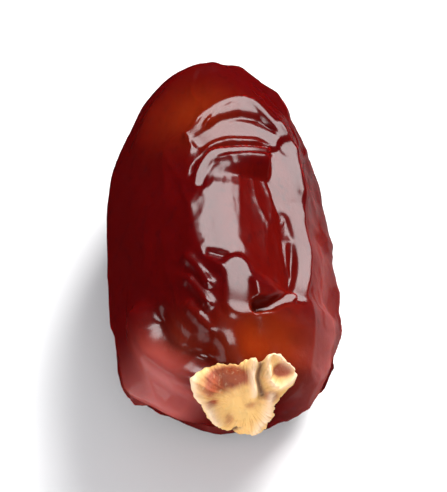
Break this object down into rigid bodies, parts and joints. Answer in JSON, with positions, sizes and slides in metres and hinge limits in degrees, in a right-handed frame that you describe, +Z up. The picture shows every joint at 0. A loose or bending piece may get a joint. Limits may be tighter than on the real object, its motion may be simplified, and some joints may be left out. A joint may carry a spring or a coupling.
{
  "type": "date fruit",
  "caption": "Ripe wrinkled date lying on its side, with its dry pale cap at the stem end and a small flat spot to rest on.",
  "frame": {"origin": "on the surface that the fruit rests on, under the middle of its box", "axes": "+Y along the fruit from the cap towards the tip, +X to the right seen from the cap's side, +Z up"},
  "size_m": [0.0206, 0.042, 0.0201],
  "materials": {
    "skin": "glossy dark red-brown skin, slightly translucent",
    "cap": "dry, matte, cream to orange-tan"
  },
  "bodies": {
    "root": {"fruit": "skin", "calyx": "cap"}
  },
  "joints": []
}
